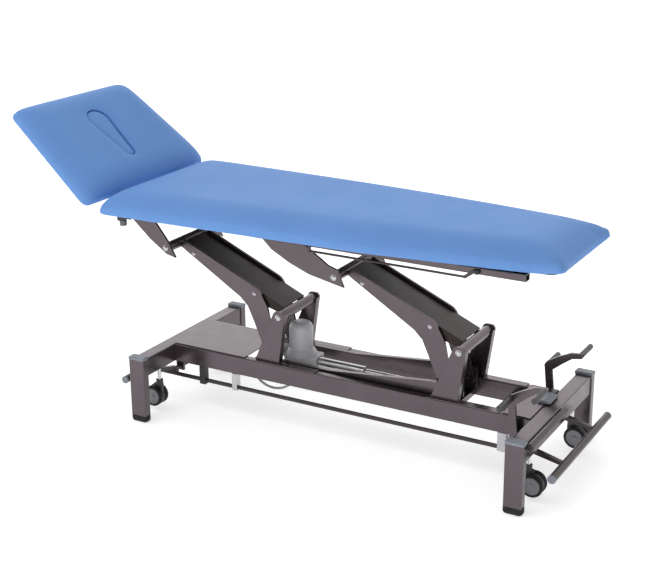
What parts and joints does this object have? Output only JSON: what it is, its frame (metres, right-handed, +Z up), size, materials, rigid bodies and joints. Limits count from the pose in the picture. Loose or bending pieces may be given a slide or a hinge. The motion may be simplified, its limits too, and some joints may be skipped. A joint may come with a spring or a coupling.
{
  "type": "examination couch",
  "caption": "Height-adjustable examination couch with a tilting padded head section, parallelogram lift arms, foot bars and retractable castors.",
  "frame": {"origin": "on the floor, under the middle of the whole couch", "axes": "+X from the head end to the foot end, +Y across the couch away from the side with the release rod, +Z up"},
  "size_m": [1.9349, 0.666, 1.0201],
  "materials": {
    "frame_paint": "satin metallic powder coat, anthracite with a warm grey cast",
    "cap_plastic": "matt moulded blue-grey plastic",
    "black_rubber": "matt black rubber",
    "bright_steel": "bright plated steel",
    "dark_bar": "dark satin paint",
    "grey_plastic": "light grey moulded plastic",
    "black_plastic": "black moulded plastic",
    "cable_sheath": "light grey cable sheath",
    "hub_grey": "grey hub discs in black tyres",
    "castor_black": "dark moulded plastic",
    "board_ply": "dark stained plywood",
    "blue_vinyl": "soft matt blue upholstery vinyl with welded seams",
    "grip_grey": "grey plastic grip"
  },
  "bodies": {
    "base": {"side_rails": "frame_paint", "cross_beams": "frame_paint", "corner_legs": "frame_paint", "leg_caps": "cap_plastic", "levelling_feet": "black_rubber", "tower_plates": "frame_paint", "lower_pivot_bolts": "bright_steel", "cover_plates": "frame_paint", "shaft_bracket": "cap_plastic", "end_bumper": "dark_bar", "anchor_bracket": "frame_paint", "control_box": "black_plastic", "cable_glands": "black_plastic", "motor_cable": "cable_sheath", "rod_blocks": "grey_plastic", "rod_clamps": "black_plastic", "rod_stems": "bright_steel", "bar_hangers": "frame_paint"},
    "arm_head": {"arm_head_channel": "frame_paint", "arm_head_levers": "frame_paint", "arm_head_tubes": "frame_paint", "arm_head_bolts": "bright_steel"},
    "arm_foot": {"arm_foot_channel": "frame_paint", "arm_foot_levers": "frame_paint", "arm_foot_tubes": "frame_paint", "arm_foot_bolts": "bright_steel"},
    "drive": {"tie_bars": "frame_paint", "actuator_housing": "grey_plastic", "actuator_tube": "bright_steel"},
    "actuator_rod": {"actuator_rod": "bright_steel"},
    "top": {"top_frame_tubes": "frame_paint", "hanging_brackets": "frame_paint", "upper_pivot_bolts": "bright_steel", "main_board": "board_ply", "main_cushion": "blue_vinyl", "head_hinge_stands": "frame_paint", "release_clips": "black_plastic"},
    "head_section": {"head_cushion": "blue_vinyl", "head_board": "board_ply", "head_hinge_arms": "frame_paint"},
    "face_plug": {"face_plug": "blue_vinyl"},
    "release_rod": {"release_rod": "dark_bar"},
    "release_grip": {"release_grip": "grip_grey"},
    "pedals": {"pedal_levers": "frame_paint", "pedal_pegs": "grey_plastic"},
    "links": {"link_rods": "dark_bar"},
    "foot_bar_foot": {"foot_bar_foot": "dark_bar", "foot_bar_caps_foot": "cap_plastic"},
    "foot_bar_head": {"foot_bar_head": "dark_bar", "foot_bar_caps_head": "cap_plastic"},
    "castor_carrier_head": {"castor_carrier_head": "bright_steel"},
    "castor_carrier_foot": {"castor_carrier_foot": "bright_steel"},
    "castor_housing_head_near": {"castor_housing_head_near": "castor_black"},
    "castor_wheels_head_near": {"castor_wheels_head_near": "hub_grey"},
    "castor_housing_head_far": {"castor_housing_head_far": "castor_black"},
    "castor_wheels_head_far": {"castor_wheels_head_far": "hub_grey"},
    "castor_housing_foot_near": {"castor_housing_foot_near": "castor_black"},
    "castor_wheels_foot_near": {"castor_wheels_foot_near": "hub_grey"},
    "castor_housing_foot_far": {"castor_housing_foot_far": "castor_black"},
    "castor_wheels_foot_far": {"castor_wheels_foot_far": "hub_grey"}
  },
  "joints": [
    {"name": "lift", "type": "hinge", "parent": "base", "child": "arm_head", "pos_m": [-0.0471, 0, 0.385], "axis": [0, 1, 0], "range_deg": [-33, 28]},
    {"name": "foot_arm_lift", "type": "hinge", "parent": "base", "child": "arm_foot", "pos_m": [0.5929, 0, 0.385], "axis": [0, 1, 0], "range_deg": [-33, 28]},
    {"name": "top_level", "type": "hinge", "parent": "arm_head", "child": "top", "pos_m": [-0.46436, 0, 0.56643], "axis": [0, 1, 0], "range_deg": [-28, 33]},
    {"name": "drive_level", "type": "hinge", "parent": "arm_head", "child": "drive", "pos_m": [-0.09608, 0, 0.22997], "axis": [0, 1, 0], "range_deg": [-28, 33]},
    {"name": "rod_slide", "type": "slide", "parent": "drive", "child": "actuator_rod", "axis": [1, 0, 0], "range_m": [-0.0869, 0.0738]},
    {"name": "head_tilt", "type": "hinge", "parent": "top", "child": "head_section", "pos_m": [-0.6091, 0, 0.737], "axis": [0, 1, 0], "range_deg": [-50, 7]},
    {"name": "plug_lift", "type": "slide", "parent": "head_section", "child": "face_plug", "axis": [0.6157, 0, 0.788], "range_m": [0, 0.12]},
    {"name": "release_rod_turn", "type": "hinge", "parent": "top", "child": "release_rod", "pos_m": [0.1879, -0.222, 0.69], "axis": [1, 0, 0], "range_deg": [-25, 12], "stiffness_Nm_per_rad": 2},
    {"name": "release_grip_swing", "type": "hinge", "parent": "top", "child": "release_grip", "pos_m": [-0.5951, -0.192, 0.666], "axis": [0, 1, 0], "range_deg": [-18, 18], "stiffness_Nm_per_rad": 2},
    {"name": "pedal_turn", "type": "hinge", "parent": "base", "child": "pedals", "pos_m": [0.7939, 0, 0.178], "axis": [0, 1, 0], "range_deg": [0, 20]},
    {"name": "link_slide", "type": "slide", "parent": "base", "child": "links", "axis": [1, 0, 0], "range_m": [-0.0255, 0]},
    {"name": "foot_bar_foot_swing", "type": "hinge", "parent": "base", "child": "foot_bar_foot", "pos_m": [0.8299, 0, 0.134], "axis": [0, 1, 0], "range_deg": [-8, 8], "stiffness_Nm_per_rad": 80},
    {"name": "foot_bar_head_swing", "type": "hinge", "parent": "base", "child": "foot_bar_head", "pos_m": [-0.4541, 0, 0.134], "axis": [0, 1, 0], "range_deg": [-8, 8], "stiffness_Nm_per_rad": 80},
    {"name": "castor_carrier_head_drop", "type": "slide", "parent": "base", "child": "castor_carrier_head", "axis": [0, 0, -1], "range_m": [0, 0.0186]},
    {"name": "swivel_head_near", "type": "hinge", "parent": "castor_carrier_head", "child": "castor_housing_head_near", "pos_m": [-0.4821, -0.186, 0.1], "axis": [0, 0, 1], "continuous": true},
    {"name": "roll_head_near", "type": "hinge", "parent": "castor_housing_head_near", "child": "castor_wheels_head_near", "pos_m": [-0.5001, -0.186, 0.05], "axis": [0, 1, 0], "continuous": true},
    {"name": "swivel_head_far", "type": "hinge", "parent": "castor_carrier_head", "child": "castor_housing_head_far", "pos_m": [-0.4821, 0.186, 0.1], "axis": [0, 0, 1], "continuous": true},
    {"name": "roll_head_far", "type": "hinge", "parent": "castor_housing_head_far", "child": "castor_wheels_head_far", "pos_m": [-0.5001, 0.186, 0.05], "axis": [0, 1, 0], "continuous": true},
    {"name": "castor_carrier_foot_drop", "type": "slide", "parent": "base", "child": "castor_carrier_foot", "axis": [0, 0, -1], "range_m": [0, 0.0186]},
    {"name": "swivel_foot_near", "type": "hinge", "parent": "castor_carrier_foot", "child": "castor_housing_foot_near", "pos_m": [0.8579, -0.186, 0.1], "axis": [0, 0, 1], "continuous": true},
    {"name": "roll_foot_near", "type": "hinge", "parent": "castor_housing_foot_near", "child": "castor_wheels_foot_near", "pos_m": [0.8759, -0.186, 0.05], "axis": [0, 1, 0], "continuous": true},
    {"name": "swivel_foot_far", "type": "hinge", "parent": "castor_carrier_foot", "child": "castor_housing_foot_far", "pos_m": [0.8579, 0.186, 0.1], "axis": [0, 0, 1], "continuous": true},
    {"name": "roll_foot_far", "type": "hinge", "parent": "castor_housing_foot_far", "child": "castor_wheels_foot_far", "pos_m": [0.8759, 0.186, 0.05], "axis": [0, 1, 0], "continuous": true}
  ],
  "couplings": [
    {"joint": "foot_arm_lift", "follows": "lift", "ratio": 1},
    {"joint": "top_level", "follows": "lift", "ratio": -1},
    {"joint": "drive_level", "follows": "lift", "ratio": -1},
    {"joint": "rod_slide", "follows": "lift", "m_per_rad": 0.15},
    {"joint": "link_slide", "follows": "pedal_turn", "m_per_rad": -0.0725},
    {"joint": "castor_carrier_head_drop", "follows": "pedal_turn", "m_per_rad": 0.0531},
    {"joint": "castor_carrier_foot_drop", "follows": "pedal_turn", "m_per_rad": 0.0531}
  ]
}
